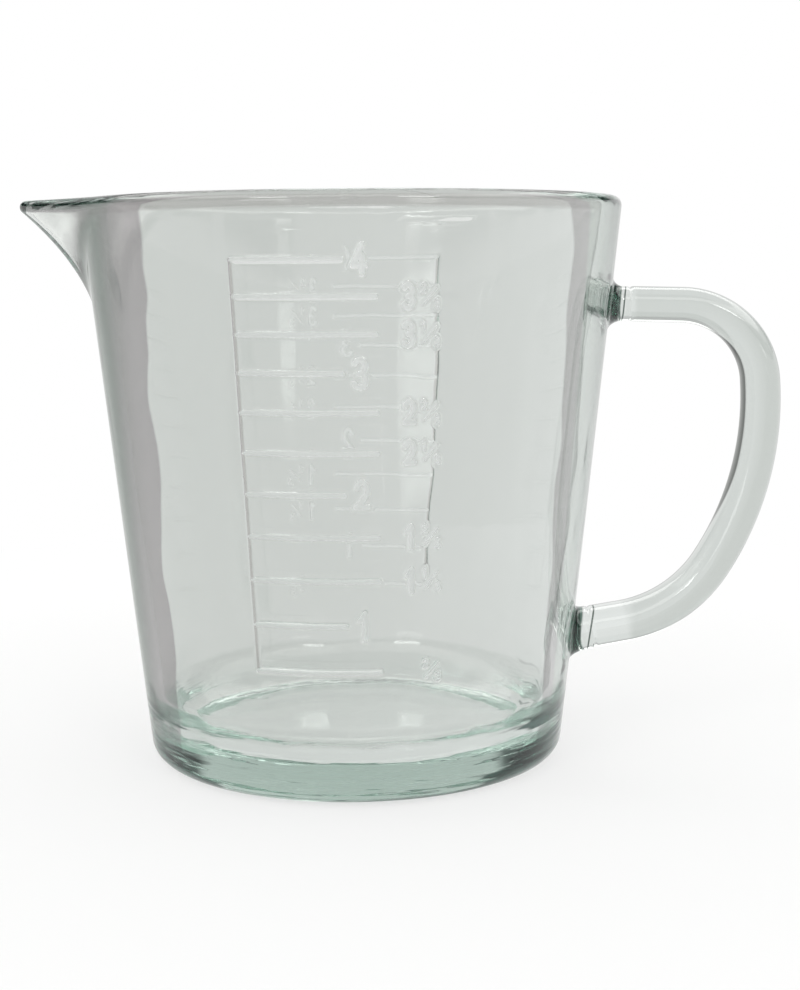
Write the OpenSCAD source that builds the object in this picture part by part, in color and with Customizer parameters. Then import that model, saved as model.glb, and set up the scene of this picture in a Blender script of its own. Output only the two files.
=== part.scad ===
// Pressed glass measuring jug: a straight tapered bowl on a thick base, with a pulled pouring spout,
// a D-shaped handle and a raised measuring scale on its front and on its rear.
// Millimetres, +Z up. The origin is the centre of the underside. The handle points along +X and the
// pouring spout along -X; the front scale is read from -Y.

/* [Bowl] */
// Height from the underside to the top of the rim
jug_height = 133.5; // [120:0.5:150]
// Outer radius of the bowl's cone at the level of the underside
foot_radius = 49.8; // [46:0.1:54]
// Outer radius of the bowl's cone at the level of the rim
rim_radius = 64; // [60:0.1:68]
// Thickness of the wall, square to it
wall_thickness = 4.5; // [3.5:0.1:5.5]
// Height of the fire-polished band that ends the wall, rounded top included
rim_band_height = 5; // [4:0.1:8]

/* [Base] */
// Thickness of the glass under the bowl's floor
floor_thickness = 7.2; // [5:0.1:11]
// Radius of the rounding between the underside and the outside of the wall
foot_edge_radius = 4.8; // [3:0.1:7]
// Radius of the hollow corner between the floor and the inside of the wall
floor_corner_radius = 13; // [8:0.5:15]
// Height of the glass above the hollow corner that still belongs to the base
base_collar_height = 1.5; // [0.5:0.1:3]

/* [Pouring spout] */
// How far the tip stands out from the bowl's cone at the level of the rim
spout_reach = 17.7; // [12:0.1:20]
// How far down from the rim the spout begins
spout_height = 32.5; // [24:0.5:40]
// Half of the angle around the rim that the spout takes
spout_half_angle = 38; // [30:1:46]
// Half of the angle that the spout takes where it begins
spout_keel_angle = 7; // [5:1:12]
// How far the tip dips below the rim
spout_dip = 0; // [0:0.1:3]
// Thickness of the glass at the tip, square to it
spout_tip_thickness = 2.8; // [2.4:0.1:4.5]
// How late the spout curves outwards on its way up: 1 is a straight ramp
spout_curve_power = 2.05; // [1.4:0.05:2.4]
// How hollow the two flanks of the spout are between its tip and the round rim
spout_flank_power = 2.2; // [1.6:0.05:2.8]
// Roundness of the tip seen from above, as a share of the spout's half angle
spout_tip_share = 0.07; // [0.04:0.01:0.15]

/* [Handle] */
// How far below the top of the rim the handle's centre line leaves the wall, at its upper root
handle_top_drop = 25.1; // [21.5:0.1:29.5]
// Angle of the upper limb below the horizontal
handle_top_angle = 1.6; // [0:0.1:6]
// Length of the upper limb's straight run, from the wall
handle_top_run = 17.5; // [14:0.1:22]
// Radius of the centre line round the handle's shoulder
shoulder_radius = 19.4; // [17:0.1:22]
// Turn of the shoulder, in degrees
shoulder_turn = 83.8; // [78:0.1:87]
// Radius of the centre line down the handle's back
back_radius = 72.7; // [68:0.1:78]
// Turn of the back, in degrees
back_turn = 37; // [34:0.1:40]
// Radius of the centre line round the handle's heel
heel_radius = 31.9; // [27:0.1:34]
// Turn of the heel, in degrees
heel_turn = 47.6; // [42:0.1:50]
// Depth of the handle's limb at its upper end, seen from the side
limb_depth_top = 8.2; // [7:0.1:10]
// Depth of the handle's limb at its lower end, seen from the side
limb_depth_foot = 10; // [8:0.1:12]
// Width of the handle across the jug
limb_width = 13; // [10:0.1:16]
// Power of the limb's rounded section: 2 is an ellipse, and more is squarer
limb_section_power = 2.5; // [2:0.1:4]
// Radius of the fillet that spreads each root of the handle on to the wall
root_fillet = 3.4; // [2:0.1:4.5]

/* [Measuring scale] */
// Side of the cube that holds one cup: 61.85 gives 236.6 millilitres
cup_cube_side = 61.85; // [61:0.05:62.5]
// How far the scale stands out from the wall
scale_relief = 0.5; // [0.3:0.05:0.8]
// Width of a graduation line and of the upright, at the wall
line_width = 1.1; // [0.8:0.1:1.6]
// Angle from the middle of the scale to its upright, in degrees
upright_angle = 21.4; // [18:0.1:24]
// Distance round the wall from the middle of the scale to the end of a whole cup's line
whole_line_end = 1.1; // [0:0.1:1.6]
// Distance round the wall from the middle of the scale to the end of a third's line
third_line_end = 8.1; // [4:0.1:10]
// Distance round the wall from the middle of the scale to the middle of a whole cup's numeral
whole_numeral_offset = 4.3; // [4:0.1:6]
// Height of the numeral at a whole cup's line
whole_numeral_height = 7; // [5:0.1:7.5]
// Distance round the wall from the middle of the scale to a numeral that has a fraction
numeral_offset = 14.4; // [13:0.1:15]
// Height of a numeral that has a fraction
numeral_height = 5.9; // [4.5:0.1:6.5]
// Distance round the wall from the middle of the scale to the middle of a fraction
fraction_offset = 19; // [18.5:0.1:20]
// Width of the strokes of the whole numerals
stroke_width = 1; // [0.7:0.05:1.2]
// Width of the strokes of the fractions
fraction_stroke_width = 0.6; // [0.4:0.05:0.7]

/* [Hidden] */
$fn = 96;
spout_sections = 36;
spout_steps = 12;
spout_crowding_power = 1.4;
round_steps = 8;
corner_steps = 12;
limb_sides = 24;
run_steps = 4;
bend_step_angle = 4;
root_steps = 6;
root_cap_shares = [0.08, 0.4, 0.75];
stroke_steps = 8;
overrun = 1;

// The bowl's cone: its slope, outer and inner radius at a height, and the plain rim's end
taper = (rim_radius - foot_radius) / jug_height;
taper_angle = atan(taper);
wall_across = wall_thickness / cos(taper_angle);
function cone_radius(z) = foot_radius + taper * z;
function bowl_radius(z) = cone_radius(z) - wall_across;
rim_start = jug_height - rim_band_height;
spout_start = jug_height - spout_height;

// The hollow corner's centre, and the level where base and wall meet
corner_z = floor_thickness + floor_corner_radius;
corner_x = bowl_radius(corner_z) - floor_corner_radius / cos(taper_angle);
base_top = corner_z + base_collar_height;

function arc_points(centre, radius, from, to, steps) =
    [for (i = [0:steps]) let (a = from + (to - from) * i / steps) centre + radius * [cos(a), sin(a)]];

// How far the spout stands out from the cone at an angle from its middle and at a height
function spout_rise(z) = max(0, (z - spout_start) / spout_height);
function spout_angle(z) =
    spout_keel_angle + (spout_half_angle - spout_keel_angle) * pow(spout_rise(z), 2);
function softened(t) =
    (sqrt(t * t + pow(spout_tip_share, 2)) - spout_tip_share)
    / (sqrt(1 + pow(spout_tip_share, 2)) - spout_tip_share);
function flank(t) = t >= 1 ? 0 : pow(1 - softened(t), spout_flank_power);
function spout_bulge(a, z) =
    spout_reach * pow(spout_rise(z), spout_curve_power) * flank(abs(a) / spout_angle(z));
function skin_radius(a, z) = cone_radius(z) + spout_bulge(a, z);

// Slopes of the outer skin, upwards and round the jug, found over a small step
step_up_share = 0.0001;
step_up = jug_height * step_up_share;
step_round_angle = 0.05;
function slope_up(a, z) = (skin_radius(a, z) - skin_radius(a, z - step_up)) / step_up;
function slope_round(a, z) =
    (skin_radius(a + step_round_angle, z) - skin_radius(a - step_round_angle, z))
    / (2 * step_round_angle * PI / 180 * skin_radius(a, z));
function thickness_at(a, z) = wall_thickness
    - (wall_thickness - spout_tip_thickness) * spout_rise(z) * flank(abs(a) / spout_angle(z));
function across(a, z) =
    thickness_at(a, z) * sqrt(1 + pow(slope_up(a, z), 2) + pow(slope_round(a, z), 2));

// One section of the wall from a level up to its rounded lip, in the radial plane at an angle from the
// spout's middle: up the outside, round the lip and down the inside
function lip_section(a, from, steps) = let (
    top = jug_height - spout_dip * flank(abs(a) / spout_half_angle),
    plain_end = top - wall_thickness / 2 * (1 + sin(taper_angle)),
    lean = atan(slope_up(a, plain_end)),
    thickness = across(a, plain_end) * cos(lean),
    end = top - thickness / 2 * (1 + sin(lean)),
    outer_end = [skin_radius(a, end), end],
    middle = outer_end - thickness / 2 * [cos(lean), -sin(lean)],
    inner_top = end + thickness * sin(lean),
    outside = [for (i = [0:steps - 1]) let (z = from + (end - from) * i / steps)
        [skin_radius(a, z), z]],
    inside = [for (i = [steps - 1:-1:0]) let (z = from + (inner_top - from) * i / steps)
        [skin_radius(a, z) - across(a, z), z]]
) concat(outside, arc_points(middle, thickness / 2, -lean, 180 - lean, round_steps), inside);

module cone_solid(from, to, proud = 0) {
    translate([0, 0, from])
        cylinder(h = to - from, r1 = cone_radius(from) + proud, r2 = cone_radius(to) + proud);
}

// Thick pressed base with the floor and the hollow corner
module base() {
    edge_x = cone_radius(foot_edge_radius) - foot_edge_radius / cos(taper_angle);
    outline = concat(
        [[0, 0]],
        arc_points([edge_x, foot_edge_radius], foot_edge_radius, -90, -taper_angle, corner_steps),
        [[cone_radius(base_top), base_top], [bowl_radius(base_top), base_top]],
        arc_points([corner_x, corner_z], floor_corner_radius, -taper_angle, -90, corner_steps),
        [[0, floor_thickness]]);
    color([0.55, 0.72, 0.64]) rotate_extrude() polygon(outline);
}

// Tapered wall of the bowl, open where the spout is drawn out of it
module wall() {
    reach = rim_radius + overrun;
    color([0.78, 0.84, 0.8]) difference() {
        rotate_extrude() polygon([
            [cone_radius(base_top), base_top], [cone_radius(rim_start), rim_start],
            [bowl_radius(rim_start), rim_start], [bowl_radius(base_top), base_top]]);
        translate([0, 0, spout_start])
            linear_extrude(rim_start - spout_start + overrun)
                polygon([[0, 0], [-reach, -reach * tan(spout_half_angle)],
                         [-reach, reach * tan(spout_half_angle)]]);
    }
}

// Fire-polished rim, from one side of the spout round to the other
module rim() {
    color([0.84, 0.88, 0.85])
        rotate([0, 0, spout_half_angle - 180])
            rotate_extrude(angle = 360 - 2 * spout_half_angle)
                polygon(lip_section(spout_half_angle, rim_start, 1));
}

// Spout drawn out of the wall, with its own rounded lip
module pouring_spout() {
    sections = [for (i = [0:spout_sections]) let (
            t = 2 * i / spout_sections - 1,
            a = spout_half_angle * sign(t) * pow(abs(t), spout_crowding_power),
            heading = 180 + a)
        [for (p = lip_section(a, spout_start, spout_steps))
            [p.x * cos(heading), p.x * sin(heading), p.y]]];
    color([0.76, 0.83, 0.79]) skin(sections);
}

// A closed solid through a row of sections that have the same number of points
module skin(sections) {
    n = len(sections[0]);
    last = len(sections) - 1;
    polyhedron(
        points = [for (s = sections) each s],
        faces = concat(
            [[for (k = [0:n - 1]) k]],
            [for (i = [0:last - 1]) for (k = [0:n - 1]) let (m = (k + 1) % n) each [
                [i * n + k, (i + 1) * n + k, (i + 1) * n + m],
                [i * n + k, (i + 1) * n + m, i * n + m]]],
            [[for (k = [n - 1:-1:0]) last * n + k]]));
}

// The handle's centre line as stations [x, z, heading], each run starting where the last one ends
function run_on(start, length, steps) = [for (i = [1:steps]) let (d = length * i / steps)
    [start.x + d * cos(start.z), start.y + d * sin(start.z), start.z]];
function bend(start, radius, turn) = let (
        steps = ceil(turn / bend_step_angle),
        centre = [start.x + radius * sin(start.z), start.y - radius * cos(start.z)])
    [for (i = [1:steps]) let (h = start.z - turn * i / steps)
        [centre.x - radius * sin(h), centre.y + radius * cos(h), h]];
function last_of(list) = list[len(list) - 1];
// Distance along a heading from a point to the bowl's cone
function to_wall(p) = (p.x - cone_radius(p.y)) / (taper * sin(p.z) - cos(p.z));

upper_wall_level = jug_height - handle_top_drop;
upper_wall_point = [cone_radius(upper_wall_level), upper_wall_level, -handle_top_angle];
upper_neck = run_on(upper_wall_point, root_fillet, 1);
upper_limb = run_on(last_of(upper_neck), handle_top_run - root_fillet, run_steps);
shoulder = bend(last_of(upper_limb), shoulder_radius, shoulder_turn);
back = bend(last_of(shoulder), back_radius, back_turn);
heel = bend(last_of(back), heel_radius, heel_turn);
lower_run = to_wall(last_of(heel));
lower_limb = run_on(last_of(heel), lower_run - root_fillet, run_steps);
centre_line = concat(upper_neck, upper_limb, shoulder, back, heel, lower_limb);

function power_of(v) = sign(v) * pow(abs(v), 2 / limb_section_power);
// Rounded section of the limb at a station, square to the centre line and grown by a margin
function limb_section(station, depth, margin) = [for (k = [0:limb_sides - 1]) let (
        a = 360 * k / limb_sides,
        u = (depth / 2 + margin) * power_of(cos(a)),
        v = (limb_width / 2 + margin) * power_of(sin(a)))
    [station.x - u * sin(station.z), v, station.y + u * cos(station.z)]];

// Loop of the handle between its two roots
module handle() {
    last = len(centre_line) - 1;
    color([0.74, 0.81, 0.77])
        skin([for (i = [0:last])
            limb_section(centre_line[i],
                limb_depth_top + (limb_depth_foot - limb_depth_top) * i / last, 0)]);
}

// Way along a heading from a point near the wall to the cone of the bowl
function way_to_cone(p, heading) = let (
    c = cos(heading), rise = taper * sin(heading), radius = cone_radius(p.z),
    half = p.x * c - radius * rise, square = c * c - rise * rise)
    (sqrt(half * half - square * (p.x * p.x + p.y * p.y - radius * radius)) - half) / square;
function moved(p, heading, way) = [p.x + way * cos(heading), p.y, p.z + way * sin(heading)];

// Root of the handle: the end of the limb spreads in a fillet on to the cone of the wall.
// The station is the wall point with the heading that leads out of the wall.
function root_ring(station, depth, share) = let (
        outline = limb_section(station, depth, root_fillet * (1 - sin(90 * share))))
    [for (p = outline) moved(p, station.z,
        way_to_cone(p, station.z) * cos(90 * share) + root_fillet * (1 - cos(90 * share)))];
function root_cap(station, depth, share) = let (
        wide = limb_section(station, depth, root_fillet),
        middle = [station.x, 0, station.y])
    [for (q = wide) let (p = middle + (q - middle) * share)
        moved(p, station.z, way_to_cone(p, station.z))];
module handle_root(station, depth) {
    color([0.5, 0.68, 0.6]) skin(concat(
        [for (share = root_cap_shares) root_cap(station, depth, share)],
        [for (i = [0:root_steps]) root_ring(station, depth, i / root_steps)]));
}
module upper_handle_root() {
    handle_root(upper_wall_point, limb_depth_top);
}
module lower_handle_root() {
    end = last_of(run_on(last_of(heel), lower_run, 1));
    handle_root([end.x, end.y, end.z + 180], limb_depth_foot);
}

// Level of the liquid for a number of cups: the cone of the bowl less the glass in the hollow corner
corner_middle_share = 0.22;
floor_radius = bowl_radius(floor_thickness);
corner_loss = (1 - PI / 4) * pow(floor_corner_radius, 2)
    * 2 * PI * (floor_radius - corner_middle_share * floor_corner_radius);
function fill_radius(cups) =
    pow(pow(floor_radius, 3) + 3 * taper * (cups * pow(cup_cube_side, 3) + corner_loss) / PI, 1 / 3);
function fill_level(cups) = floor_thickness + (fill_radius(cups) - floor_radius) / taper;

// The scale's rows from the top down, each numbered by the thirds of a cup that it marks. A row that
// has no room for its numeral under the rim is left off.
function row_level(n) = fill_level(n / 3);
row_numbers = [for (n = [12:-1:2]) if (row_level(n) + whole_numeral_height / 2 < rim_start) n];
top_row_level = row_level(row_numbers[0]);
bottom_row_level = row_level(row_numbers[len(row_numbers) - 1]);
function is_whole(n) = n % 3 == 0;

// Angle round the wall for a distance from the middle of the scale
function angle_at(distance, z) = distance / cone_radius(z) * 180 / PI;

line_crest_share = 0.5;
scale_front_angle = -90;

// A raised bar on the wall: its outline in the radial plane, turned from one angle to another
module raised_band(low, high, from, to) {
    crest = (1 - line_crest_share) * line_width / 2;
    rotate([0, 0, from]) rotate_extrude(angle = to - from) polygon([
        [cone_radius(low), low],
        [cone_radius(low + crest) + scale_relief, low + crest],
        [cone_radius(high - crest) + scale_relief, high - crest],
        [cone_radius(high), high]]);
}

upright_turn = angle_at(line_width, (top_row_level + bottom_row_level) / 2);
module scale_upright(middle) {
    from = middle - upright_angle;
    raised_band(bottom_row_level - line_width / 2, top_row_level + line_width / 2,
        from, from + upright_turn);
}

module scale_lines(middle) {
    for (n = row_numbers) {
        z = row_level(n);
        end = is_whole(n) ? whole_line_end : third_line_end;
        raised_band(z - line_width / 2, z + line_width / 2,
            middle - upright_angle + upright_turn, middle + angle_at(end, z));
    }
}

// Strokes of the numerals 1 to 4, as shares of a numeral's width and height
function oval(centre, radii, from, to) = [for (i = [0:stroke_steps])
    let (a = from + (to - from) * i / stroke_steps) centre + [radii.x * cos(a), radii.y * sin(a)]];
one_shares = [[[0.56, 0], [0.56, 1]], [[0.14, 0.74], [0.56, 0.96]]];
two_shares = [
    concat(oval([0.48, 0.7], [0.44, 0.3], 165, -28), [[0.1, 0.06]]),
    [[0, 0.07], [0.96, 0.07]]];
three_shares = [
    oval([0.44, 0.75], [0.44, 0.25], 155, -90),
    oval([0.44, 0.26], [0.5, 0.26], 90, -155)];
four_shares = [[[0.74, 1], [0.04, 0.3]], [[0, 0.3], [1, 0.3]], [[0.72, 0.64], [0.72, 0]]];
numeral_shares = [one_shares, two_shares, three_shares, four_shares];
numeral_width_share = 0.54;
fraction_width_share = 0.64;
fraction_height_share = 0.46;
fraction_gap_share = 0.2;

// A stroke of even width along a row of points
function unit(v) = v / norm(v);
function ribbon(points, width) = let (
    last = len(points) - 1,
    normals = [for (i = [0:last]) let (d = unit(points[min(i + 1, last)] - points[max(i - 1, 0)]))
        [-d.y, d.x]])
    concat([for (i = [0:last]) points[i] + normals[i] * width / 2],
           [for (i = [last:-1:0]) points[i] - normals[i] * width / 2]);

module numeral(digit, width, height, width_of_stroke) {
    w = width - width_of_stroke;
    h = height - width_of_stroke;
    for (s = numeral_shares[digit - 1])
        translate([-w / 2, -h / 2]) polygon(ribbon([for (p = s) [p.x * w, p.y * h]], width_of_stroke));
}

// A third or two thirds: the small upper number, the slanted bar and the small lower 3
module fraction(upper) {
    small = fraction_height_share * numeral_height;
    width = fraction_width_share * small;
    side = width / 2 + fraction_gap_share * small;
    rise = (numeral_height - small) / 2;
    translate([-side, rise]) numeral(upper, width, small, fraction_stroke_width);
    translate([side, -rise]) numeral(3, width, small, fraction_stroke_width);
    polygon(ribbon([[-side, -rise], [side, rise]], fraction_stroke_width));
}

// Stands a flat mark on the wall at a height and at an angle, ready to be cut to the relief
module on_wall(z, angle) {
    depth = scale_relief + 2 * overrun;
    rotate([90, 0, angle + 90])
        translate([0, z, cone_radius(z) - depth])
            linear_extrude(2 * depth) children();
}

module numerals(middle) {
    low = bottom_row_level - numeral_height;
    high = top_row_level + whole_numeral_height;
    intersection() {
        union() for (n = row_numbers) {
            z = row_level(n);
            whole = floor(n / 3);
            if (is_whole(n)) {
                on_wall(z, middle + angle_at(whole_numeral_offset, z))
                    numeral(whole, numeral_width_share * whole_numeral_height,
                        whole_numeral_height, stroke_width);
            } else {
                if (whole > 0) on_wall(z, middle + angle_at(numeral_offset, z))
                    numeral(whole, numeral_width_share * numeral_height,
                        numeral_height, stroke_width);
                on_wall(z, middle + angle_at(fraction_offset, z)) fraction(n % 3);
            }
        }
        difference() {
            cone_solid(low, high, scale_relief);
            cone_solid(low - overrun, high + overrun);
        }
    }
}

scale_colour = [0.9, 0.93, 0.91];
module front_scale_upright() { color(scale_colour) scale_upright(scale_front_angle); }
module front_scale_lines() { color(scale_colour) scale_lines(scale_front_angle); }
module front_numerals() { color(scale_colour) numerals(scale_front_angle); }
module rear_scale_upright() { color(scale_colour) scale_upright(scale_front_angle + 180); }
module rear_scale_lines() { color(scale_colour) scale_lines(scale_front_angle + 180); }
module rear_numerals() { color(scale_colour) numerals(scale_front_angle + 180); }

base();
wall();
pouring_spout();
rim();
handle();
upper_handle_root();
lower_handle_root();
front_scale_upright();
front_scale_lines();
front_numerals();
rear_scale_upright();
rear_scale_lines();
rear_numerals();
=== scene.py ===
import math

import bpy
import numpy as np
from mathutils import Matrix, Vector


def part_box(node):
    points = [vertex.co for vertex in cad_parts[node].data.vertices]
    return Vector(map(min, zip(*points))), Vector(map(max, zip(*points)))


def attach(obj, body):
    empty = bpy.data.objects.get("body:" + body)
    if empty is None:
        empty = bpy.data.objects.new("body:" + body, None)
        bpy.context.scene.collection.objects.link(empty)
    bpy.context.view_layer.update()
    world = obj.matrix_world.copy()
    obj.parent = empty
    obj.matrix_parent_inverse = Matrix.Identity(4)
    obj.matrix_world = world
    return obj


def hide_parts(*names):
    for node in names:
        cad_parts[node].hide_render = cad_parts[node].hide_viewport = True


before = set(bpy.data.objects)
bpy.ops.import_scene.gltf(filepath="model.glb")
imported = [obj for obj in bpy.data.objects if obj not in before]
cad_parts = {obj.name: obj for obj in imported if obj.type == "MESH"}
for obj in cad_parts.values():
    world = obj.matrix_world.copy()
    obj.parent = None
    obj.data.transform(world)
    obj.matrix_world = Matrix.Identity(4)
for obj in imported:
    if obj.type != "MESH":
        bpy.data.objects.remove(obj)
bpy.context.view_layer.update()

# Bowl and base of the jug
# The real jug is one pressing of clear soda-lime glass: a straight tapered bowl on a thick base, with a
# fire-polished rim. One closed skin is laid over all of it, because a face inside the glass would show.
base_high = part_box("base")[1]
wall_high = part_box("wall")[1]
jug_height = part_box("rim")[1].z
taper = (wall_high.y - base_high.y) / (wall_high.z - base_high.z)
taper_angle = math.atan(taper)
foot_radius = base_high.y - taper * base_high.z

wall_thickness = 0.0045
floor_thickness = 0.0072
foot_edge_radius = 0.0048
floor_corner_radius = 0.013
corner_clearance = 0.0005
wall_across = wall_thickness / math.cos(taper_angle)


def cone_radius(z):
    """Radius of the bowl's outer cone: the foot's radius plus the taper times the height."""
    return foot_radius + taper * z


corner_z = floor_thickness + floor_corner_radius
corner_x = cone_radius(corner_z) - wall_across - floor_corner_radius / math.cos(taper_angle)
foot_x = cone_radius(foot_edge_radius) - foot_edge_radius / math.cos(taper_angle)
foot_top = foot_edge_radius * (1 - math.sin(taper_angle))
corner_top = corner_z - floor_corner_radius * math.sin(taper_angle)
plain_lip_start = jug_height - wall_thickness / 2 * (1 + math.sin(taper_angle))

# Pouring spout of the bowl
# The soft glass of the rim is drawn outwards into a V while it is hot, so the spout is thinner at its tip
# and runs out into the round rim on both sides.
spout_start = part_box("pouring_spout")[0].z
spout_height = jug_height - spout_start
spout_reach = 0.0177
spout_half_angle = 38.0
spout_keel_angle = 7.0
spout_tip_thickness = 0.0028
spout_curve_power = 2.05
spout_flank_power = 2.2
spout_tip_share = 0.07
outer_unevenness = 3e-5
inner_unevenness = 9e-5
corner_unevenness = 1.6e-4
inner_wave_turn = 17
# Waves of the glass: size, number round the bowl, rate up the wall or round the corner, and phase.
wall_waves = ((0.45, 3, 38, 0.4), (0.35, 7, -61, 1.9), (0.3, 13, 24, 4.2), (0.2, 22, -90, 2.6))
corner_waves = ((0.5, 17, 1.3, 0), (0.4, 29, -2.1, 1.1), (0.3, 43, 0, 2.7))


def spout_rise(z):
    """Share of the spout's height: 0 where it begins and 1 at the rim."""
    return np.maximum(0, (z - spout_start) / spout_height)


def flank(a, z):
    """How much of the spout's reach is left at an angle from its middle: 1 less the angle's share of the
    spout's half angle at that height, rounded near the middle, raised to the flank's power."""
    half = spout_keel_angle + (spout_half_angle - spout_keel_angle) * spout_rise(z) ** 2
    t = np.abs(a) / half
    s = spout_tip_share
    soft = (np.sqrt(t * t + s * s) - s) / (math.sqrt(1 + s * s) - s)
    return np.where(t < 1, np.maximum(0, 1 - soft), 0) ** spout_flank_power


def skin_radius(a, z):
    """Outer radius of the glass: the cone plus the spout's reach times its rise and its flank."""
    return cone_radius(z) + spout_reach * spout_rise(z) ** spout_curve_power * flank(a, z)


def across(a, z):
    """Thickness of the glass along the radius, and the slope of the skin upwards. The thickness is the true
    one times the root of 1 plus the squares of the slopes upwards and round, each over a small step."""
    up, turn = 2e-5, 0.05
    slope_up = (skin_radius(a, z) - skin_radius(a, z - up)) / up
    slope_round = (skin_radius(a + turn, z) - skin_radius(a - turn, z)) / (
        2 * math.radians(turn) * skin_radius(a, z))
    thick = wall_thickness - (wall_thickness - spout_tip_thickness) * spout_rise(z) * flank(a, z)
    return thick * np.sqrt(1 + slope_up ** 2 + slope_round ** 2), slope_up


def added_waves(waves, angle, along):
    """Sum of sine waves: each one's size times the sine of its number times the angle, plus its rate
    times the way along, plus its phase."""
    r = np.radians(angle)
    return sum(size * np.sin(number * r + rate * along + phase) for size, number, rate, phase in waves)


def wave(angle, z, size):
    """Unevenness of pressed glass: a few long waves round the bowl and along its height, added up, that
    die out towards the lip and the floor."""
    lip_fade, floor_fade = 0.012, 0.02
    fade = (np.clip((plain_lip_start - z) / lip_fade, 0, 1)
            * np.clip((z - corner_top) / floor_fade, 0, 1))
    return size * fade * added_waves(wall_waves, angle, z)


# Columns of the skin are angles from the spout's middle, and its rows run up the outside, over the lip,
# down the inside and across the floor.
scale_hole = (62.5, 117.5)
handle_hole = (168.0, 192.0)
spout_t = np.linspace(-1, 1, 57)
spout_columns = spout_half_angle * np.sign(spout_t) * np.abs(spout_t) ** 1.5
side_columns = np.concatenate([
    np.linspace(spout_half_angle, scale_hole[0], 11)[1:],
    np.linspace(*scale_hole, 19)[1:],
    np.linspace(scale_hole[1], handle_hole[0], 19)[1:]])
handle_columns = np.linspace(*handle_hole, 13)[1:-1]
columns = np.concatenate([spout_columns, side_columns, handle_columns, 360 - side_columns[::-1]])

lower_hole = (0.019, 0.0385)
upper_hole = (0.0993, 0.1175)
levels = np.concatenate([
    np.linspace(foot_top, lower_hole[0], 6),
    np.linspace(*lower_hole, 13)[1:],
    np.linspace(lower_hole[1], upper_hole[0], 23)[1:],
    np.linspace(*upper_hole, 13)[1:],
    np.linspace(upper_hole[1], plain_lip_start, 11)[1:]])


# Shares of the way from the middle to the edge at which the rings of the underside and the floor lie.
underside_shares = (0.25, 0.5, 0.75, 0.92, 1.0)
floor_shares = (0.85, 0.65, 0.45, 0.2)
foot_steps, lip_steps, corner_steps = 10, 12, 16


def stretched(level, end):
    """Levels above the spout's start, spread evenly up to where the lip of each column begins."""
    share = (level - spout_start) / (plain_lip_start - spout_start)
    return np.where(level > spout_start, spout_start + (end - spout_start) * share, level)


def bowl_skin(a):
    """Radius and height of every point of the skin, row by row, for columns at angles a: the flat
    underside, the rounded foot, the outer wall, the half circle of the lip, the inner wall, the hollow
    corner with its short waves where the plunger pressed it, and the floor."""
    one = np.ones_like(a)
    plain_across, lean_slope = across(a, plain_lip_start * one)
    lean = np.arctan(lean_slope)
    thick = plain_across * np.cos(lean)
    end = jug_height - thick / 2 * (1 + np.sin(lean))
    inner_top = end + thick * np.sin(lean)
    lip_x = skin_radius(a, end) - thick / 2 * np.cos(lean)
    lip_z = end + thick / 2 * np.sin(lean)
    rows = [(share * foot_x * one, 0 * one) for share in underside_shares]
    for turn in np.radians(np.linspace(-90, -math.degrees(taper_angle), foot_steps + 1)[1:-1]):
        rows.append((foot_x + foot_edge_radius * math.cos(turn) * one,
                     foot_edge_radius * (1 + math.sin(turn)) * one))
    for level in levels:
        z = stretched(level * one, end)
        rows.append((skin_radius(a, z) + wave(a, z, outer_unevenness), z))
    for share in np.linspace(0, 1, lip_steps + 1)[1:-1]:
        turn = -lean + math.pi * share
        rows.append((lip_x + thick / 2 * np.cos(turn), lip_z + thick / 2 * np.sin(turn)))
    for level in levels[levels > corner_top + corner_clearance][::-1]:
        z = stretched(level * one, inner_top)
        inner_wave = wave(a + inner_wave_turn, z, inner_unevenness)
        rows.append((skin_radius(a, z) - across(a, z)[0] + inner_wave, z))
    for turn in np.radians(np.linspace(-math.degrees(taper_angle), -90, corner_steps + 1)):
        ripple = corner_unevenness * math.sin(-2 * turn) * added_waves(corner_waves, a, turn)
        hollow = floor_corner_radius + ripple
        rows.append((corner_x + hollow * math.cos(turn), corner_z + hollow * math.sin(turn)))
    rows += [(share * corner_x * one, floor_thickness * one) for share in floor_shares]
    radius, height = (np.array(v) for v in zip(*rows))
    return radius, height


def on_jug(a, radius, height):
    """Points from an angle from the spout's middle, a radius and a height."""
    heading = np.radians(180 + a)
    return np.stack([radius * np.cos(heading), radius * np.sin(heading), height], -1)


def grid_faces(ids, closed):
    """Quads between neighbouring rows and columns of a grid of point numbers."""
    right = np.roll(ids, -1, axis=1) if closed else ids[:, 1:]
    left = ids if closed else ids[:, :-1]
    return np.stack([left[:-1], right[:-1], right[1:], left[1:]], -1)


radius, height = bowl_skin(columns)
bowl_points = on_jug(columns[None], radius, height)
row_count, column_count = radius.shape
bowl_ids = np.arange(row_count * column_count).reshape(row_count, column_count)
bowl_faces = grid_faces(bowl_ids, True)
first_level = len(underside_shares) + foot_steps - 1
kept = np.ones(bowl_faces.shape[:2], bool)


def border(ids, a, z):
    """The loop of points round a grid, anticlockwise as seen from outside, and how far along each of
    its four sides a point lies: by its angle on the level sides and by its height on the upright ones."""
    def walk(g):
        return np.concatenate([g[0, :-1], g[:-1, -1], g[-1, :0:-1], g[:0:-1, 0]])
    high, wide = ids.shape[0] - 1, ids.shape[1] - 1
    corners = np.cumsum([0, wide, high, wide, high])
    share = np.zeros(corners[-1])
    for side, (start, end) in enumerate(zip(corners[:-1], corners[1:])):
        c = walk(z if side % 2 else a)
        c = np.append(c, c[0])[start:end + 1]
        share[start:end] = side + (c[:-1] - c[0]) / (c[-1] - c[0])
    return walk(ids), share


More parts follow.
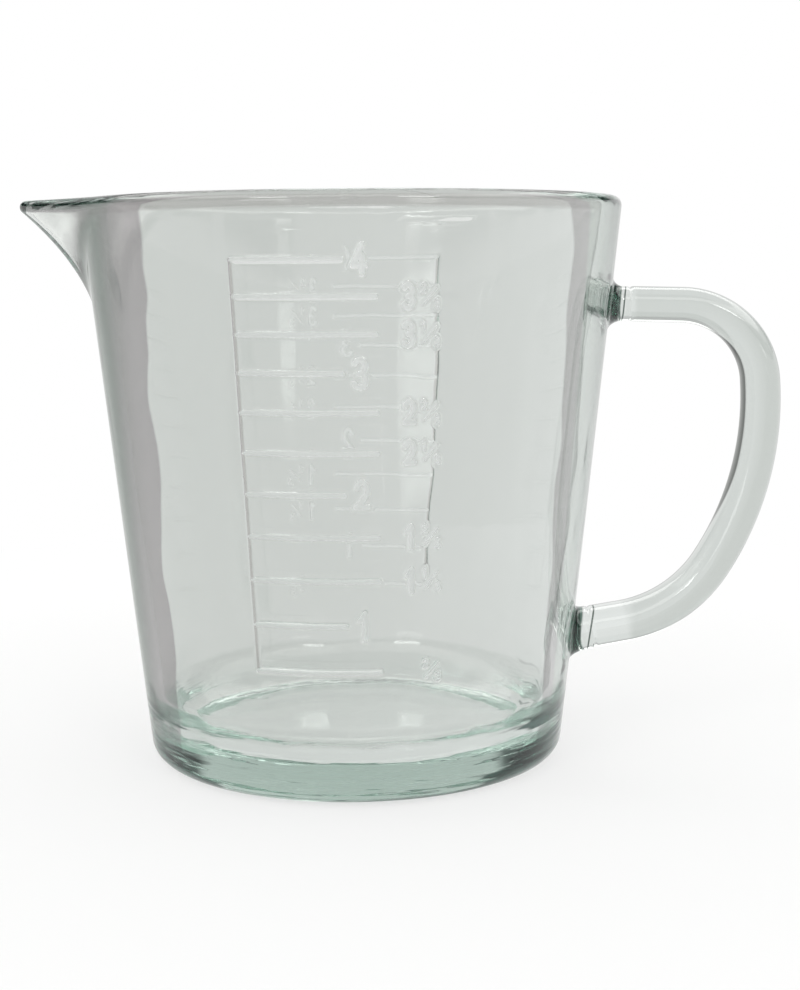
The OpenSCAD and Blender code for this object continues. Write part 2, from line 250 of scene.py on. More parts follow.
def cut_hole(angles, heights):
    """Leaves out the quads between two angles and two levels, and returns the border round the hole."""
    low, high = (first_level + int(np.abs(levels - z).argmin()) for z in heights)
    left, right = (int(np.abs(columns - a).argmin()) for a in angles)
    kept[low:high, left:right] = False
    part = np.s_[low:high + 1, left:right + 1]
    return border(bowl_ids[part], (columns + 0 * height)[part], height[part])


upper_loop, _ = cut_hole(handle_hole, upper_hole)
lower_loop, _ = cut_hole(handle_hole, lower_hole)
scale_low, scale_high = 0.0255, 0.1258
scale_levels = (levels[levels < scale_low][-1], levels[levels > scale_high][0])
front_border = cut_hole(scale_hole, scale_levels)
rear_border = cut_hole((360 - scale_hole[1], 360 - scale_hole[0]), scale_levels)

# Measuring scale, pressed into the front and the rear of the wall
# Soft ridges of the same glass stand half a millimetre out of the wall: an upright, a line for each third
# of a cup, and plain numerals. The fire polish has rounded them.
scale_relief = 0.0005
line_width = 0.0011
upright_angle = 21.4
whole_line_end = 0.0011
third_line_end = 0.0081
whole_numeral_offset = 0.0043
whole_numeral_height = 0.007
numeral_offset = 0.0144
numeral_height = 0.0059
fraction_offset = 0.019
stroke_width = 0.0012
fraction_stroke_width = 0.0007
cup_cube_side = 0.06185
corner_middle_share = 0.22
floor_radius = cone_radius(floor_thickness) - wall_across
corner_loss = (1 - math.pi / 4) * floor_corner_radius ** 2 * 2 * math.pi * (
    floor_radius - corner_middle_share * floor_corner_radius)


def fill_level(cups):
    """Level that a number of cups reaches: the cone of the bowl less the glass of the hollow corner."""
    volume = cups * cup_cube_side ** 3 + corner_loss
    reached = (floor_radius ** 3 + 3 * taper * volume / math.pi) ** (1 / 3)
    return floor_thickness + (reached - floor_radius) / taper


def oval(centre, radii, start, end):
    """Points along an oval from one angle to another."""
    a = np.radians(np.linspace(start, end, 13))
    return np.stack([centre[0] + radii[0] * np.cos(a), centre[1] + radii[1] * np.sin(a)], 1)


digit_shares = {
    1: [np.array([[0.56, 0], [0.56, 1]]), np.array([[0.14, 0.74], [0.56, 0.96]])],
    2: [np.concatenate([oval((0.48, 0.7), (0.44, 0.3), 165, -28), [[0.1, 0.06]]]),
        np.array([[0, 0.07], [0.96, 0.07]])],
    3: [oval((0.44, 0.75), (0.44, 0.25), 155, -90), oval((0.44, 0.26), (0.5, 0.26), 90, -155)],
    4: [np.array([[0.74, 1], [0.04, 0.3]]), np.array([[0, 0.3], [1, 0.3]]),
        np.array([[0.72, 0.64], [0.72, 0]])]}
numeral_width_share = 0.54
fraction_width_share = 0.64
fraction_height_share = 0.46
fraction_gap_share = 0.2


def numeral(digit, place, width, height, stroke):
    """Strokes of a digit round its middle, each as its points and its width."""
    size = np.array([width - stroke, height - stroke])
    return [(place + (points - 0.5) * size, stroke) for points in digit_shares[digit]]


def fraction(upper, place):
    """Strokes of one or two thirds: the small upper number, the slanted bar and the small lower 3."""
    small = fraction_height_share * numeral_height
    width = fraction_width_share * small
    corner = np.array([width / 2 + fraction_gap_share * small, (numeral_height - small) / 2])
    return (numeral(upper, place + corner * (-1, 1), width, small, fraction_stroke_width)
            + numeral(3, place + corner * (1, -1), width, small, fraction_stroke_width)
            + [(np.array([place - corner, place + corner]), fraction_stroke_width)])


soft_edge_share = 0.85
upright_edge_share = 0.68
long_stroke_share = 20
strokes = []
upright_ends = []
for thirds in range(12, 1, -1):
    z = fill_level(thirds / 3)
    upright = -math.radians(upright_angle) * cone_radius(z) + line_width / 2
    upright_ends.append((upright, z))
    whole = thirds // 3
    if thirds % 3 == 0:
        strokes.append((np.array([(upright, z), (whole_line_end - line_width / 2, z)]), line_width))
        strokes += numeral(whole, np.array([whole_numeral_offset, z]),
                           numeral_width_share * whole_numeral_height, whole_numeral_height, stroke_width)
    else:
        strokes.append((np.array([(upright, z), (third_line_end - line_width / 2, z)]), line_width))
        if whole:
            strokes += numeral(whole, np.array([numeral_offset, z]),
                               numeral_width_share * numeral_height, numeral_height, stroke_width)
        strokes += fraction(thirds % 3, np.array([fraction_offset, z]))
strokes.append((np.array([upright_ends[0], upright_ends[-1]]), line_width))


def ridge(s, z, points, width):
    """Height of one ridge over a grid of places: highest on the line of the stroke, and falling off to
    nothing at its edge, straight on the long upright and as a cosine on the others."""
    long_upright = np.ptp(points[:, 1]) > long_stroke_share * width
    edge = width * (upright_edge_share if long_upright else soft_edge_share)
    near = ((s > points[:, 0].min() - edge) & (s < points[:, 0].max() + edge)
            & (z > points[:, 1].min() - edge) & (z < points[:, 1].max() + edge))
    here = np.stack([s[near], z[near]], 1)[:, None]
    start, along = points[:-1], np.diff(points, axis=0)
    share = np.clip(((here - start) * along).sum(-1) / (along ** 2).sum(-1), 0, 1)
    away = np.linalg.norm(here - start - share[..., None] * along, axis=-1).min(1)
    left = 1 - np.minimum(away / edge, 1)
    found = np.zeros_like(s)
    found[near] = left if long_upright else 0.5 - 0.5 * np.cos(math.pi * left)
    return found


# Left of the middle the scale's columns are angles, and right of it distances round the wall, so that
# they follow the upright and the numerals.
left_angles = np.radians(np.concatenate([
    [-25, -23.6], np.arange(-22.5, -19.2, 0.27), [-18.3, -16, -13, -10, -7, -4, -2]]))
right_places = np.concatenate([
    [0], np.arange(0.3, 9.0, 0.3), [10, 11.2], np.arange(12.2, 22.2, 0.27), [23.2, 24.5]]) * 0.001
panel_low_gap, panel_high_gap, panel_row_step = 0.0008, 0.0006, 0.00031
scale_rows = np.arange(scale_levels[0] + panel_low_gap, scale_levels[1] - panel_high_gap, panel_row_step)
z_grid = scale_rows[:, None]
s_grid = np.concatenate([left_angles * cone_radius(z_grid), right_places + 0 * z_grid], 1)
z_grid = z_grid + 0 * s_grid
relief = np.zeros_like(s_grid)
for points, width in strokes:
    # The upright is the last stroke, so what is kept here in the end is the relief of all the others.
    dull_part = relief
    relief = np.maximum(relief, ridge(s_grid, z_grid, points, width) * min(1, width / stroke_width))


def bridge(outer, outer_at, inner, inner_at):
    """Triangles between two borders that run the same way: each one's steps are taken in the order of
    their middles, and each step is joined to the point that the other border has reached."""
    outer_mid = (outer_at + np.append(outer_at[1:], 4)) / 2
    inner_mid = (inner_at + np.append(inner_at[1:], 4)) / 2
    reached = np.searchsorted(inner_mid, outer_mid) % len(inner)
    first = np.stack([outer, np.roll(outer, -1), inner[reached]], 1)
    reached = np.searchsorted(outer_mid, inner_mid, side="right") % len(outer)
    second = np.stack([np.roll(inner, -1), inner, outer[reached]], 1)
    return np.concatenate([first, second])


skin_points = [bowl_points.reshape(-1, 3)]
marks = [np.zeros(bowl_ids.size)]
quads, triangles = [bowl_faces[kept].reshape(-1, 4)], []
count = len(skin_points[0])
for middle, hole_border in ((90, front_border), (270, rear_border)):
    # A panel lies on the wall's cone, and stands out by the relief times the ridges.
    a = middle + np.degrees(s_grid / cone_radius(z_grid))
    r = cone_radius(z_grid) + wave(a, z_grid, outer_unevenness) + scale_relief * relief
    ids = count + np.arange(s_grid.size).reshape(s_grid.shape)
    skin_points.append(on_jug(a, r, z_grid).reshape(-1, 3))
    marks.append(np.where(relief > dull_part, -relief, dull_part).ravel())
    quads.append(grid_faces(ids, False).reshape(-1, 4))
    triangles.append(bridge(*hole_border, *border(ids, a, z_grid)))
    count += s_grid.size

# Handle of the jug, with its two roots
# The handle is pressed with the bowl and is solid glass. It leaves the wall through a small fillet, runs
# out, round the shoulder, down the back and in again at the heel, and grows deeper towards the heel.
upper_level = jug_height - 0.0251
handle_top_angle = 1.6
handle_top_run = 0.0175
# Bends of the handle, from the shoulder to the heel: radius, turn in degrees and number of stations.
handle_bends = ((0.0194, 83.8, 42), (0.0727, 37.0, 20), (0.0319, 47.6, 24))
limb_depth_top = 0.0082
limb_depth_foot = 0.010
limb_width = 0.013
limb_section_power = 2.5
root_fillet = 0.0034
upper_flare = 0.0028
lower_flare = 0.0018
groove_place = 0.0014
groove_depth = 0.0003
groove_half_width = 0.0004
root_steps, straight_steps, groove_steps = 8, 6, 12


def run_on(start, length, steps):
    """Stations along a straight run: place, height and heading."""
    d = length * np.arange(1, steps + 1) / steps
    x, z, heading = start
    return np.stack([x + d * math.cos(heading), z + d * math.sin(heading), heading + 0 * d], 1)


def bend(start, radius, turn, steps):
    """Stations round an arc that starts along the heading and turns clockwise."""
    x, z, heading = start
    h = heading - math.radians(turn) * np.arange(1, steps + 1) / steps
    centre = (x + radius * math.sin(heading), z - radius * math.cos(heading))
    return np.stack([centre[0] - radius * np.sin(h), centre[1] + radius * np.cos(h), h], 1)


upper_root = np.array([cone_radius(upper_level), upper_level, -math.radians(handle_top_angle)])
neck = run_on(upper_root, root_fillet, 1)
grooved = run_on(neck[-1], 2 * groove_place, groove_steps)
top_run = handle_top_run - root_fillet - 2 * groove_place
line = [neck, grooved, run_on(grooved[-1], top_run, straight_steps)]
for bend_radius, turn, steps in handle_bends:
    line.append(bend(line[-1][-1], bend_radius, turn, steps))
x, z, heading = line[-1][-1]
lower_run = (x - cone_radius(z)) / (taper * math.sin(heading) - math.cos(heading))
lower_root = run_on(line[-1][-1], lower_run, 1)[0]
line.append(run_on(line[-1][-1], lower_run - root_fillet - 2 * groove_place, straight_steps))
line.append(run_on(line[-1][-1], 2 * groove_place, groove_steps))
stations = np.concatenate(line)
lower_root[2] -= math.pi


def limb_ring(station, depth, margin, turn):
    """Points round the limb's section at a station: a rounded rectangle of a power, by the angle round
    it, square to the heading."""
    u, v = np.cos(turn), np.sin(turn)
    high, wide = depth / 2 + margin, limb_width / 2 + margin
    r = (np.abs(u / high) ** limb_section_power + np.abs(v / wide) ** limb_section_power) ** (
        -1 / limb_section_power)
    x, z, heading = station
    return np.stack([x - r * u * math.sin(heading), r * v, z + r * u * math.cos(heading)], 1)


def to_cone(p, heading):
    """Way along the heading from each point to the bowl's cone: the nearer root of the square."""
    c, rise = math.cos(heading), taper * math.sin(heading)
    r = cone_radius(p[:, 2])
    half, square = p[:, 0] * c - r * rise, c * c - rise * rise
    inside = half ** 2 - square * (p[:, 0] ** 2 + p[:, 1] ** 2 - r ** 2)
    return (np.sqrt(inside) - half) / square


def root_rings(station, depth, flare, turn):
    """Rings of a root, from the wall to the neck: the limb's section with a margin that shrinks from the
    flare as a quarter circle does, pushed from the cone out along the heading."""
    rings = []
    for share in np.radians(np.linspace(0, 90, root_steps + 1)):
        p = limb_ring(station, depth, flare * (1 - math.sin(share)), turn)
        way = to_cone(p, station[2]) * math.cos(share) + root_fillet * (1 - math.cos(share))
        rings.append(p + way[:, None] * (math.cos(station[2]), 0, math.sin(station[2])))
    return rings


def loop_turn(loop, station):
    """Angle of each point of a hole's border round the root's middle, as the limb's section has it."""
    p = skin_points[0][loop] - (station[0], 0, station[1])
    up = -p[:, 0] * math.sin(station[2]) + p[:, 2] * math.cos(station[2])
    return np.arctan2(p[:, 1], up)


# The lower border is walked backwards from its upper left corner, so that its points face those of the
# upper one, and its angles are turned over, because the heading at the lower root leads out of the wall.
sides = len(upper_loop)
lower_loop = lower_loop[(sides * 3 // 4 - np.arange(sides)) % sides]
upper_turn = loop_turn(upper_loop, upper_root)
lower_turn = loop_turn(lower_loop, lower_root)
first_turn = np.unwrap(upper_turn)
last_turn = np.unwrap(math.pi - lower_turn)
last_turn += 2 * math.pi * np.round((first_turn - last_turn).mean() / (2 * math.pi))
rings = root_rings(upper_root, limb_depth_top, upper_flare, upper_turn)
steps = np.linalg.norm(np.diff(stations[:, :2], axis=0), axis=1)
from_neck = np.concatenate([[0], np.cumsum(steps)])
for k, station in enumerate(stations[1:-1], 1):
    share = k / (len(stations) - 1)
    depth = limb_depth_top + (limb_depth_foot - limb_depth_top) * share
    # Where the handle's mould met the bowl's, a fine groove runs round each neck.
    near_end = min(from_neck[k], from_neck[-1] - from_neck[k])
    groove = -groove_depth * math.exp(-((near_end - groove_place) / groove_half_width) ** 2)
    rings.append(limb_ring(station, depth, groove, first_turn + (last_turn - first_turn) * share))
rings += root_rings(lower_root, limb_depth_foot, lower_flare, lower_turn)[::-1]
ring_ids = count + np.arange(len(rings) * sides).reshape(len(rings), sides)
skin_points.append(np.concatenate(rings))
quads.append(grid_faces(np.concatenate([[upper_loop], ring_ids, [lower_loop]]), True).reshape(-1, 4))
count += ring_ids.size

# The two poles close the underside and the floor.
skin_points.append(np.array([(0, 0, 0), (0, 0, floor_thickness)]))
marks.append(np.zeros(ring_ids.size + 2))
for pole, ring in ((count, bowl_ids[0]), (count + 1, bowl_ids[-1, ::-1])):
    triangles.append(np.stack([pole + 0 * ring, np.roll(ring, -1), ring], 1))


def new_mesh(name, points, face_lists, marked=None):
    """A smooth mesh from points and lists of faces; points that no face uses are left out. Each point
    may carry how far it stands out as a mark, which is below zero on the upright."""
    used, numbers = np.unique(np.concatenate([f.ravel() for f in face_lists]), return_inverse=True)
    sizes = np.concatenate([np.full(len(f), f.shape[1]) for f in face_lists])
    mesh = bpy.data.meshes.new(name)
    mesh.vertices.add(len(used))
    mesh.vertices.foreach_set("co", points[used].astype(np.float32).ravel())
    mesh.loops.add(len(numbers))
    mesh.loops.foreach_set("vertex_index", numbers.ravel().astype(np.int32))
    mesh.polygons.add(len(sizes))
    mesh.polygons.foreach_set("loop_start", np.append(0, np.cumsum(sizes)[:-1]).astype(np.int32))
    mesh.update(calc_edges=True)
    mesh.shade_smooth()
    if marked is not None:
        mark_data = mesh.attributes.new("mark", "FLOAT", "POINT").data
        mark_data.foreach_set("value", marked[used].astype(np.float32))
    made = bpy.data.objects.new(name, mesh)
    bpy.context.scene.collection.objects.link(made)
    return made


jug = new_mesh("glass_jug", np.concatenate(skin_points), quads + triangles, np.concatenate(marks))

# Glass of the jug
# Clear soda-lime glass with a faint green in depth. Pressing leaves it gently uneven, and dull on the raised
# marks, and the fire polish leaves the rest bright.
glass = bpy.data.materials.new("pressed_glass")
glass.use_nodes = True
tree = glass.node_tree
shader = tree.nodes["Principled BSDF"]


def node(kind, links=None, **values):
    """A node of a kind, with its own settings and with its inputs set or linked by name."""
    made = tree.nodes.new(kind)
    for key, value in values.items():
        setattr(made, key, value)
    for socket, source in (links or {}).items():
        if isinstance(source, bpy.types.NodeSocket):
            tree.links.new(source, made.inputs[socket])
        else:
            made.inputs[socket].default_value = source
    return made


def math_node(operation, *values):
    """A math node's result for its values, which are numbers or other nodes' results."""
    return node("ShaderNodeMath", dict(enumerate(values)), operation=operation).outputs["Value"]


def product(*factors):
    """The product of two or more numbers or results."""
    made = factors[0]
    for factor in factors[1:]:
        made = math_node("MULTIPLY", made, factor)
    return made


def vector_node(operation, *values):
    """A vector math node's result: a number for a length or a dot product, and otherwise a vector."""
    made = node("ShaderNodeVectorMath", dict(enumerate(values)), operation=operation)
    return made.outputs["Value" if operation in ("LENGTH", "DOT_PRODUCT") else "Vector"]


def parted(vector):
    """The three parts of a vector."""
    return node("ShaderNodeSeparateXYZ", {"Vector": vector}).outputs


def noise(vector, scale, detail):
    """A noise pattern's result over a vector, one half on average."""
    return node("ShaderNodeTexNoise", {"Vector": vector, "Scale": scale, "Detail": detail}).outputs["Fac"]


def ramp(value, start, end, low=0.0, high=1.0):
    """A smooth step of a value from low at its start to high at its end."""
    return node("ShaderNodeMapRange", {"Value": value, "From Min": start, "From Max": end, "To Min": low,
                                       "To Max": high}, interpolation_type="SMOOTHSTEP").outputs["Result"]


def blended(share, low, high):
    """A colour between two others, which are colours or other nodes' results."""
    made = node("ShaderNodeMix", data_type="RGBA")
    for socket, source in ((0, share), (6, low), (7, high)):
        if isinstance(source, bpy.types.NodeSocket):
            tree.links.new(source, made.inputs[socket])
        else:
            made.inputs[socket].default_value = source
    return made.outputs[2]


# Places on the skin: how far right and how high, and how far out from the bowl's cone.
place = node("ShaderNodeTexCoord").outputs["Object"]
across_place, _, up_place = parted(place)
level_way = vector_node("MULTIPLY", place, (1, 1, 0))
cone_here = math_node("ADD", math_node("MULTIPLY", up_place, taper), foot_radius)
off_cone = math_node("SUBTRACT", vector_node("LENGTH", level_way), cone_here)

# Regions of the skin, each with the two measures between which it fades in.
base_top_fade, base_skin_fade = (0.0165, 0.0145), (-0.0028, -0.0018)
handle_fade, root_fade = (0.066, 0.068), (0.04, 0.042)
wall_fade, flat_fade = (0.6, 0.35), (0.95, 0.6)
skin = node("ShaderNodeNewGeometry").outputs
normal_across, _, normal_up = parted(skin["Normal"])
slope = math_node("ABSOLUTE", normal_up)
on_base = product(ramp(up_place, *base_top_fade), ramp(off_cone, *base_skin_fade))
on_handle = ramp(across_place, *handle_fade)
off_handle = math_node("SUBTRACT", 1.0, on_handle)
on_root = ramp(across_place, *root_fade)
on_wall = ramp(slope, *wall_fade)
near = ramp(vector_node("DOT_PRODUCT", skin["Normal"], level_way), -0.001, 0.001)
near_wall = product(near, on_wall)

# The wall's tint wanders in soft upright streaks, and the solid base and handle are a shade deeper.
wall_tints = (0.825, 0.835, 0.825, 1), (0.855, 0.863, 0.855, 1)
solid_tint = (0.7, 0.715, 0.7, 1)
stretched_place = node("ShaderNodeMapping", {"Vector": place, "Scale": (1, 1, 0.35)}).outputs["Vector"]
tint_and_painted_light = blended(noise(stretched_place, 60.0, 2.0), *wall_tints)
tint_and_painted_light = blended(math_node("MAXIMUM", on_base, on_handle), tint_and_painted_light, solid_tint)

# The marks are matt from the mould. Their tint is painted white as a painted highlight, and the upright's
# flank is painted dark as painted shade.
mark_painted_highlight = (1, 1, 1, 1)
upright_painted_shade = (0.5, 0.47, 0.46, 1)
mark = node("ShaderNodeAttribute", attribute_name="mark").outputs["Fac"]
tint_and_painted_light = blended(ramp(mark, 0.2, 0.7), tint_and_painted_light, mark_painted_highlight)
tint_and_painted_light = blended(ramp(mark, -0.3, -0.7), tint_and_painted_light, upright_painted_shade)

# How far the skin turns away from the eye, a little more towards the left. For the painted shades of the
# wall and the base the normal is bent upwards, which keeps them at the sides in a view from above.
bend_up = (0, 0, 0.48)
to_left = math_node("MULTIPLY", across_place, -0.5)
facing = math_node("ADD", node("ShaderNodeLayerWeight", {"Blend": 0.5}).outputs["Facing"], to_left)
bent = vector_node("NORMALIZE", vector_node("ADD", skin["Normal"], bend_up))
side_facing = node("ShaderNodeLayerWeight", {"Blend": 0.5, "Normal": bent}).outputs["Facing"]
side_facing = math_node("ADD", side_facing, to_left)
waviness = noise(place, 48.0, 1.0)
wavy_facing = math_node("ADD", side_facing, math_node("MULTIPLY", waviness, 0.09))

# Painted shade: the bead of the rim is painted a little grey on its outer face.
bead_painted_shade = (0.63, 0.62, 0.61, 1)
bead_fade = (0.1296, 0.1304)
tint_and_painted_light = blended(product(ramp(up_place, *bead_fade), near_wall), tint_and_painted_light, bead_painted_shade)

# Painted shade: where the near wall turns away its tint goes grey with a wavy edge, with a paler strip at
# the right, and its last edge goes dark green. The longer way through the glass there darkens it a little,
# and the rest is painted.
left_painted_shade, right_painted_shade = (0.32, 0.285, 0.3, 1), (0.4, 0.38, 0.385, 1)
right_strip_painted_shade = (0.47, 0.51, 0.475, 1)
last_edge_painted_shade = (0.03, 0.045, 0.035, 1)
right_painted_shade_mix = blended(ramp(side_facing, 0.54, 0.57), right_painted_shade, right_strip_painted_shade)
painted_side_shade = blended(ramp(across_place, -0.03, 0.03), left_painted_shade, right_painted_shade_mix)
tint_and_painted_light = blended(product(ramp(wavy_facing, 0.488, 0.503), near_wall, off_handle), tint_and_painted_light, painted_side_shade)
edge_facing = math_node("SUBTRACT", side_facing, across_place)
tint_and_painted_light = blended(product(ramp(edge_facing, 0.52, 0.82), near_wall), tint_and_painted_light, last_edge_painted_shade)

# Painted shade: a fine dark line is painted down the far wall where it is seen edge on, next to the handle.
far_line_painted_shade = (0.03, 0.035, 0.03, 1)
far_side = product(math_node("SUBTRACT", 1.0, near), ramp(across_place, 0.02, 0.04))
tint_and_painted_light = blended(product(ramp(facing, 0.76, 0.86), far_side), tint_and_painted_light, far_line_painted_shade)

# Painted shade: the handle's sides are painted dark at their last edge, and the inner one darker than the
# outer.
handle_edge_painted_shade = (0.01, 0.012, 0.01, 1)
inner_side = ramp(normal_across, -0.3, -0.7)
grip = product(ramp(up_place, 0.05, 0.07), ramp(up_place, 0.105, 0.095))
inner_facing = math_node("ADD", facing, product(inner_side, grip, 0.35))
tint_and_painted_light = blended(product(ramp(inner_facing, 0.76, 0.88), on_handle), tint_and_painted_light, handle_edge_painted_shade)

# Painted shade: the thick base is painted dark green at its sides, broken into fine level streaks by the
# pattern of the mould's chill marks. A paler ring is left free at two thirds of the base's height.
base_side_painted_shade = (0.008, 0.022, 0.018, 1)
ring_level = 0.0105
level_place = node("ShaderNodeMapping", {"Vector": place, "Scale": (0.1, 0.1, 1)}).outputs["Vector"]
chill = noise(level_place, 520.0, 2.0)
streaky_facing = math_node("ADD", side_facing, math_node("MULTIPLY", chill, 0.8))
streaky_facing = math_node("ADD", streaky_facing, math_node("MULTIPLY", across_place, 3.0))
off_ring = math_node("ABSOLUTE", math_node("SUBTRACT", up_place, ring_level))
streaky_facing = math_node("SUBTRACT", streaky_facing, ramp(off_ring, 0.0028, 0.0008, 0.0, 0.35))
tint_and_painted_light = blended(product(ramp(streaky_facing, 0.72, 0.82), on_base), tint_and_painted_light, base_side_painted_shade)

# Painted shade: each root of the handle is painted with a ring of dark deep green where it leaves the wall.
root_painted_shade = (0.015, 0.04, 0.028, 1)
root_painted_ring = product(ramp(off_cone, 0.0001, 0.0006), ramp(off_cone, 0.0024, 0.0018), on_root)
tint_and_painted_light = blended(root_painted_ring, tint_and_painted_light, root_painted_shade)

# A fine wavy dark line runs round each neck, where the mould of the handle met the mould of the bowl.
seam_tint = (0.02, 0.03, 0.025, 1)
seam_place = math_node("ADD", ramp(up_place, 0.05, 0.08, 0.0035, 0.0022),
                       math_node("MULTIPLY", waviness, 0.0022))
off_seam = math_node("ABSOLUTE", math_node("SUBTRACT", off_cone, seam_place))
outside = math_node("SUBTRACT", 1.0, skin["Backfacing"])
tint_and_painted_light = blended(product(ramp(off_seam, 0.00026, 0.00012), on_root, outside), tint_and_painted_light, seam_tint)
# The base colour holds the glass's own tint together with the painted shades and the marks' painted
# highlight above.
tree.links.new(tint_and_painted_light, shader.inputs["Base Color"])

# The marks are dull. The wall ripples softly, and the floor and the underside are flatter, so what they
# mirror keeps its straight edges. The chill marks can be felt as well.
dull = math_node("ADD", math_node("MULTIPLY", noise(place, 80.0, 1.0), 0.04), ramp(mark, 0.1, 0.8, 0.0, 0.6))
tree.links.new(dull, shader.inputs["Roughness"])
rippled = product(noise(stretched_place, 110.0, 1.0), ramp(slope, *flat_fade, 0.05, 1.0))
ripple_bump = node("ShaderNodeBump", {"Height": rippled, "Strength": 0.25, "Distance": 0.0004})
chill_bump = node("ShaderNodeBump", {"Height": product(chill, on_base), "Strength": 0.5, "Distance": 0.0005,
                                     "Normal": ripple_bump.outputs["Normal"]})
tree.links.new(chill_bump.outputs["Normal"], shader.inputs["Normal"])
shader.inputs["IOR"].default_value = 1.5
shader.inputs["Transmission Weight"].default_value = 1.0
absorption = node("ShaderNodeVolumeAbsorption", {"Color": (0.35, 0.61, 0.51, 1), "Density": 8.0})
tree.links.new(absorption.outputs["Volume"], tree.nodes["Material Output"].inputs["Volume"])
jug.data.materials.append(glass)

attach(jug, "root")
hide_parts("base", "wall", "pouring_spout", "rim", "handle", "upper_handle_root",
            "lower_handle_root", "front_scale_upright", "front_scale_lines", "front_numerals",
            "rear_scale_upright", "rear_scale_lines", "rear_numerals")

# Floor
# A sheet of white paper, a hair below the jug's underside. Looked at straight it is white with the jug's
# soft shadow on it, and through the glass it is white too, a little dimmer towards the left.
floor_drop = 0.0004
floor_reach = 0.35
floor_sides = 96
white = (1, 1, 1, 1)
backdrop_left = (0.865, 0.87, 0.86, 1)
paper_colour = (0.8, 0.8, 0.8, 1)
shadow_fade = (0.12, 0.33)
shadow_share = 0.35
side = np.arange(floor_sides)
turn = 2 * math.pi * side / floor_sides
floor_ring = np.stack([floor_reach * np.cos(turn), floor_reach * np.sin(turn), 0 * turn - floor_drop], 1)
floor = new_mesh("floor", np.concatenate([floor_ring, [(0, 0, -floor_drop)]]),
                 [np.stack([side, np.roll(side, -1), np.full(floor_sides, floor_sides)], 1)])


def backdrop(east):
    """White of the sweep that the glass shows, by how far to the right it lies: a little dimmer at left."""
    return blended(ramp(east, -0.12, 0.35), backdrop_left, white)


paper = bpy.data.materials.new("floor_paper")
paper.use_nodes = True
tree = paper.node_tree
tree.nodes.clear()
place = node("ShaderNodeTexCoord").outputs["Object"]
east = math_node("DIVIDE", parted(place)["X"], floor_reach)
straight = node("ShaderNodeLightPath").outputs["Is Camera Ray"]
glow = node("ShaderNodeEmission", {"Color": blended(straight, backdrop(east), white), "Strength": 1.0})
matt = node("ShaderNodeBsdfDiffuse", {"Color": paper_colour})
share = product(straight, ramp(vector_node("LENGTH", place), *shadow_fade, shadow_share, 0.0))
mixed = node("ShaderNodeMixShader", {0: share, 1: glow.outputs["Emission"], 2: matt.outputs["BSDF"]})
node("ShaderNodeOutputMaterial", {"Surface": mixed.outputs["Shader"]})
floor.data.materials.append(paper)

# Studio light
# White all round for what looks straight at it. What the glass mirrors or bends sees the white sweep, a ring
# of bright and dark panels over it, a ring of soft boxes above that, and windows behind the camera.
dark_panel = (0.05, 0.085, 0.075, 1)
bright_panel = (0.85, 0.86, 0.85, 1)
soft_box = (2.6, 2.6, 2.55, 1)
ceiling = (0.6, 0.6, 0.6, 1)
window_light = (3.1, 3.15, 3.1)
window_softness = 0.7
# Degrees above the horizon at which one level of the studio goes over into the next.
sweep_end, panels_end = (10, 12), (20, 23)
boxes_start, boxes_end = (27, 31), (46, 52)
# Degrees from the jug's front and rear at which the panels change: a wide bright one in the middle, a dark
# one, a narrow bright one and a dark one at the side.
middle_panel_end = (36, 30)
side_panel_start, side_panel_end = (70, 72), (78, 76)
# Windows in front of the jug: heading to the right, half width, elevation, half height and brightness. The
# upper ones are what the bowl's floor mirrors, by way of the far wall.
windows = ((-33.7, 9.2, 7.4, 3.9, 1), (37.9, 3.8, 8.4, 2.1, 1), (-33.7, 9.2, 12.95, 0.5, 1),
           (37.9, 3.8, 12.6, 0.4, 1), (25.0, 5.0, -0.9, 0.2, 1), (-33.0, 8.5, 27.0, 3.5, 3),
           (31.0, 8.5, 27.0, 3.5, 3))
world = bpy.data.worlds.new("studio")
bpy.context.scene.world = world
world.use_nodes = True
tree = world.node_tree
tree.nodes.clear()
east, north, up = parted(node("ShaderNodeTexCoord").outputs["Generated"])
elevation = math_node("DEGREES", math_node("ARCSINE", up))
heading = math_node("DEGREES", math_node("ARCTAN2", east, north))
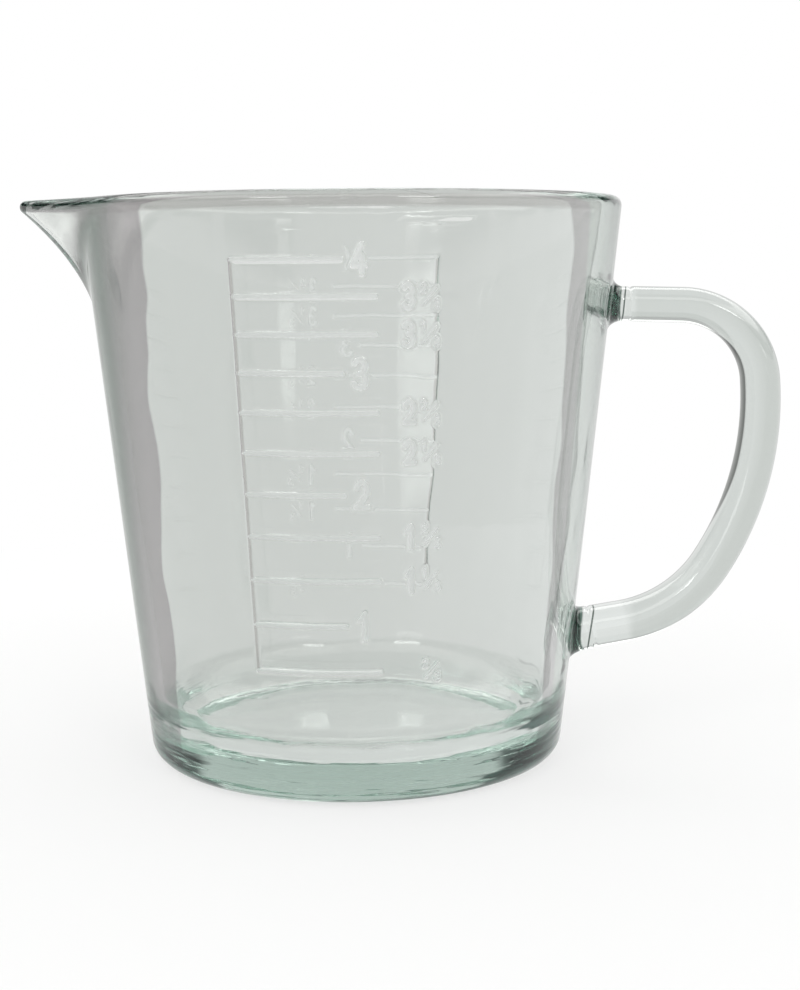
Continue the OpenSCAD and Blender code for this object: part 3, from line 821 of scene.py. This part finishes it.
# How far a heading lies from the line through the front and the rear: its rest after half turns.
half_turns = math_node("MODULO", math_node("ADD", heading, 450.0), 180.0)
off_line = math_node("ABSOLUTE", math_node("SUBTRACT", half_turns, 90.0))
panels = blended(ramp(off_line, *middle_panel_end), dark_panel, bright_panel)
on_side_panel = product(ramp(off_line, *side_panel_start), ramp(off_line, *side_panel_end))
panels = blended(on_side_panel, panels, bright_panel)
colour = blended(ramp(elevation, *sweep_end), backdrop(east), panels)
colour = blended(ramp(elevation, *panels_end), colour, ceiling)
colour = blended(ramp(elevation, *boxes_start), colour, soft_box)
colour = blended(ramp(elevation, *boxes_end), colour, ceiling)
front = math_node("DEGREES", math_node("ARCTAN2", east, math_node("MULTIPLY", north, -1.0)))
for middle, half_wide, level, half_high, brightness in windows:
    # A window is bright where both the heading and the elevation are near its middle.
    beside = math_node("ABSOLUTE", math_node("SUBTRACT", front, middle))
    above = math_node("ABSOLUTE", math_node("SUBTRACT", elevation, level))
    inside = product(ramp(beside, half_wide + window_softness, half_wide - window_softness),
                     ramp(above, half_high + window_softness, half_high - window_softness))
    colour = blended(inside, colour, [brightness * part for part in window_light] + [1])
straight = node("ShaderNodeLightPath").outputs["Is Camera Ray"]
glow = node("ShaderNodeBackground", {"Color": blended(straight, colour, white), "Strength": 1.0})
node("ShaderNodeOutputWorld", {"Surface": glow.outputs["Background"]})

# Camera
# It stands in front of the scale, a little below the rim's level, and looks slightly down. Its place, its
# turns and its lens, in pixels of the frame, were fitted to the photo.
frame_width, frame_height = 800, 990
focal_pixels = 1704.0
camera_distance = 0.4109
camera_height = 0.1194
camera_turn = math.radians(2.67)
camera_yaw = math.radians(1.538) - camera_turn
camera_pitch = math.radians(7.913)
camera_roll = math.radians(0.42)
ahead = Vector((math.sin(camera_yaw) * math.cos(camera_pitch),
                math.cos(camera_yaw) * math.cos(camera_pitch), -math.sin(camera_pitch)))
level_right = Vector((math.cos(camera_yaw), -math.sin(camera_yaw), 0))
level_up = level_right.cross(ahead)
camera_right = math.cos(camera_roll) * level_right - math.sin(camera_roll) * level_up
camera_up = math.sin(camera_roll) * level_right + math.cos(camera_roll) * level_up
lens = bpy.data.cameras.new("camera")
lens.sensor_width = 36.0
lens.lens = lens.sensor_width * focal_pixels / frame_height
lens.clip_start, lens.clip_end = 0.01, 20.0
camera = bpy.data.objects.new("camera", lens)
bpy.context.scene.collection.objects.link(camera)
turned = Matrix((camera_right, camera_up, -ahead)).transposed().to_4x4()
stand = Vector((camera_distance * math.sin(camera_turn), -camera_distance * math.cos(camera_turn),
                camera_height))
camera.matrix_world = Matrix.Translation(stand) @ turned
bpy.context.scene.camera = camera
bpy.context.scene.view_settings.view_transform = "Standard"
# Light that runs to and fro inside the thick glass is followed until it comes out.
light_turns = 24
bpy.context.scene.cycles.max_bounces = light_turns
bpy.context.scene.cycles.glossy_bounces = light_turns
bpy.context.scene.cycles.transmission_bounces = light_turns
